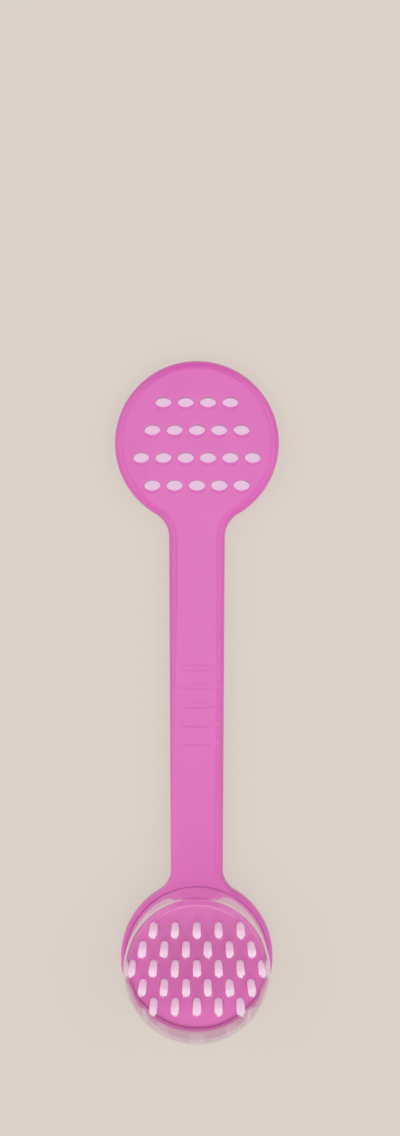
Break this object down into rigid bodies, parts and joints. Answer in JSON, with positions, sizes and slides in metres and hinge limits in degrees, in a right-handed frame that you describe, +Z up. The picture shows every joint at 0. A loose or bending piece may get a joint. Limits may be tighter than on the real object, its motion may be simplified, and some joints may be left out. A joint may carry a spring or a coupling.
{
  "type": "tongue scraper",
  "caption": "Flat moulded handle with a round slotted scraper head at one end and a round bristle head under a clear push-on travel case at the other, for cleaning the tongue.",
  "frame": {"origin": "under the middle of the tool with its case on, in the plane of the flat back", "axes": "+Y along the handle towards the scraper head, +Z up from the flat back to the front face, +X across"},
  "size_m": [0.0338, 0.1382, 0.0163],
  "materials": {
    "pink_plastic": "satin moulded pink",
    "bristle_nylon": "white nylon",
    "anchor_metal": "plain strip",
    "clear_plastic": "clear moulded"
  },
  "bodies": {
    "tool": {"moulded_body": "pink_plastic", "tuft_1_1": "bristle_nylon", "tuft_1_2": "bristle_nylon", "tuft_1_3": "bristle_nylon", "tuft_1_4": "bristle_nylon", "tuft_1_5": "bristle_nylon", "tuft_2_1": "bristle_nylon", "tuft_2_2": "bristle_nylon", "tuft_2_3": "bristle_nylon", "tuft_2_4": "bristle_nylon", "tuft_2_5": "bristle_nylon", "tuft_2_6": "bristle_nylon", "tuft_3_1": "bristle_nylon", "tuft_3_2": "bristle_nylon", "tuft_3_3": "bristle_nylon", "tuft_3_4": "bristle_nylon", "tuft_3_5": "bristle_nylon", "tuft_3_6": "bristle_nylon", "tuft_3_7": "bristle_nylon", "tuft_4_1": "bristle_nylon", "tuft_4_2": "bristle_nylon", "tuft_4_3": "bristle_nylon", "tuft_4_4": "bristle_nylon", "tuft_4_5": "bristle_nylon", "tuft_4_6": "bristle_nylon", "tuft_5_1": "bristle_nylon", "tuft_5_2": "bristle_nylon", "tuft_5_3": "bristle_nylon", "tuft_5_4": "bristle_nylon", "tuft_5_5": "bristle_nylon", "tuft_anchors": "anchor_metal"},
    "case": {"travel_case": "clear_plastic"}
  },
  "joints": [
    {"name": "case_lift", "type": "slide", "parent": "tool", "child": "case", "axis": [0, 0, 1], "range_m": [0, 0.03]}
  ]
}
